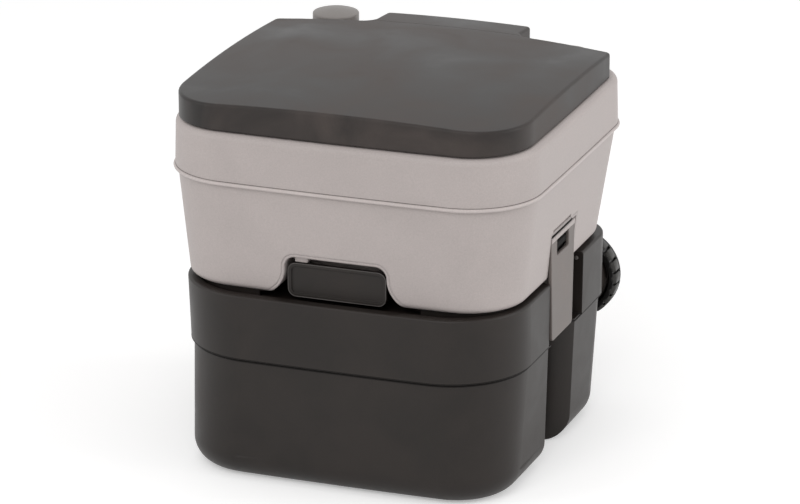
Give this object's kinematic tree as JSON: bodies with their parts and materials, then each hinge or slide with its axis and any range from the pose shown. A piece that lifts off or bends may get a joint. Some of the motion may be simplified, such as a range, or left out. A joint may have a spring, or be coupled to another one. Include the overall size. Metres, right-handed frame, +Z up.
{
  "type": "portable camp toilet",
  "caption": "Two-part portable camp toilet: a flush unit with seat, lid and pump latched on a waste tank with a slide valve and a screw-capped pouring spout",
  "frame": {"origin": "on the floor under the middle of the valve throat", "axes": "+Z up; -Y the front, where the valve handle is; +X the right side seen from the front"},
  "size_m": [0.402, 0.3949, 0.4203],
  "materials": {
    "dark_body": "satin moulded dark grey-brown",
    "light_body": "fine-grained warm light grey",
    "lid_brown": "satin dark taupe",
    "handle_dark": "satin black-brown",
    "cap_black": "black, slightly glossy",
    "blade_grey": "smooth grey",
    "clear_grey": "smooth pale grey",
    "rubber_black": "black rubber",
    "rubber_grey": "pale grey rubber",
    "screw_steel": "zinc-plated steel"
  },
  "bodies": {
    "waste_tank": {"waste_tank": "dark_body", "waste_tank_top": "dark_body", "spout_neck": "dark_body", "valve_base": "dark_body", "valve_cover": "dark_body", "valve_screws": "screw_steel", "lip_seal": "rubber_black", "latch_bracket_left": "dark_body", "latch_bracket_right": "dark_body", "latch_pin_left": "screw_steel", "latch_pin_right": "screw_steel"},
    "valve_slide": {"valve_blade": "blade_grey", "valve_handle": "handle_dark"},
    "latch_left_arm": {"latch_left": "dark_body"},
    "latch_right_arm": {"latch_right": "dark_body"},
    "spout_seal": {"spout_gasket": "rubber_black"},
    "spout_lid": {"spout_cap": "cap_black"},
    "flush_unit": {"flush_tank": "light_body", "flush_base": "dark_body", "flush_deck": "light_body", "handle_recess": "light_body", "latch_pocket_left": "light_body", "latch_pocket_right": "light_body", "hinge_lugs": "light_body", "pump_housing": "light_body", "filler_neck": "light_body", "bowl": "light_body", "flush_nozzle": "light_body", "flush_pipe": "clear_grey", "pump_intake": "clear_grey", "pump_collar": "light_body", "catch_left": "dark_body", "catch_right": "dark_body"},
    "pump_plunger": {"pump_knob": "light_body", "pump_bellows": "rubber_grey"},
    "filler_seal": {"filler_gasket": "rubber_black"},
    "filler_lid": {"filler_cap": "light_body"},
    "seat_frame": {"seat": "lid_brown", "seat_bumpers": "rubber_black", "hinge_pins": "dark_body"},
    "lid_cover": {"lid": "lid_brown", "lid_hinge": "lid_brown", "lid_bumpers": "rubber_black"}
  },
  "joints": [
    {"name": "valve_pull", "type": "slide", "parent": "waste_tank", "child": "valve_slide", "axis": [0, -1, 0], "range_m": [0, 0.1]},
    {"name": "tank_lift", "type": "slide", "parent": "waste_tank", "child": "flush_unit", "axis": [0, 0, 1], "range_m": [0, 0.12]},
    {"name": "latch_right_swing", "type": "hinge", "parent": "waste_tank", "child": "latch_right_arm", "pos_m": [0.1805, -0.006, 0.1485], "axis": [0, 1, 0], "range_deg": [0, 100]},
    {"name": "latch_left_swing", "type": "hinge", "parent": "waste_tank", "child": "latch_left_arm", "pos_m": [-0.1805, -0.006, 0.1485], "axis": [0, -1, 0], "range_deg": [0, 100]},
    {"name": "spout_unscrew", "type": "slide", "parent": "waste_tank", "child": "spout_seal", "axis": [0, 1, 0], "range_m": [0, 0.018]},
    {"name": "spout_turn", "type": "hinge", "parent": "spout_seal", "child": "spout_lid", "pos_m": [0.139, 0.199, 0.137], "axis": [0, 1, 0], "range_deg": [0, 1080]},
    {"name": "filler_unscrew", "type": "slide", "parent": "flush_unit", "child": "filler_seal", "axis": [0, 0, 1], "range_m": [0, 0.01]},
    {"name": "filler_turn", "type": "hinge", "parent": "filler_seal", "child": "filler_lid", "pos_m": [0.132, 0.177, 0.39], "axis": [0, 0, 1], "range_deg": [0, 720]},
    {"name": "pump_press", "type": "slide", "parent": "flush_unit", "child": "pump_plunger", "axis": [0, 0, -1], "range_m": [0, 0.018], "stiffness_N_per_m": 400, "springref_m": -0.004, "deforming": ["pump_bellows"]},
    {"name": "seat_hinge", "type": "hinge", "parent": "flush_unit", "child": "seat_frame", "pos_m": [0, 0.187, 0.4005], "axis": [1, 0, 0], "range_deg": [-95, 0]},
    {"name": "lid_hinge", "type": "hinge", "parent": "seat_frame", "child": "lid_cover", "pos_m": [0, 0.187, 0.4005], "axis": [-1, 0, 0], "range_deg": [0, 105]}
  ],
  "couplings": [
    {"joint": "latch_right_swing", "follows": "tank_lift", "rad_per_m": 14.54},
    {"joint": "latch_left_swing", "follows": "tank_lift", "rad_per_m": 14.54},
    {"joint": "spout_unscrew", "follows": "spout_turn", "m_per_rad": 0.0009548},
    {"joint": "filler_unscrew", "follows": "filler_turn", "m_per_rad": 0.0007957}
  ]
}
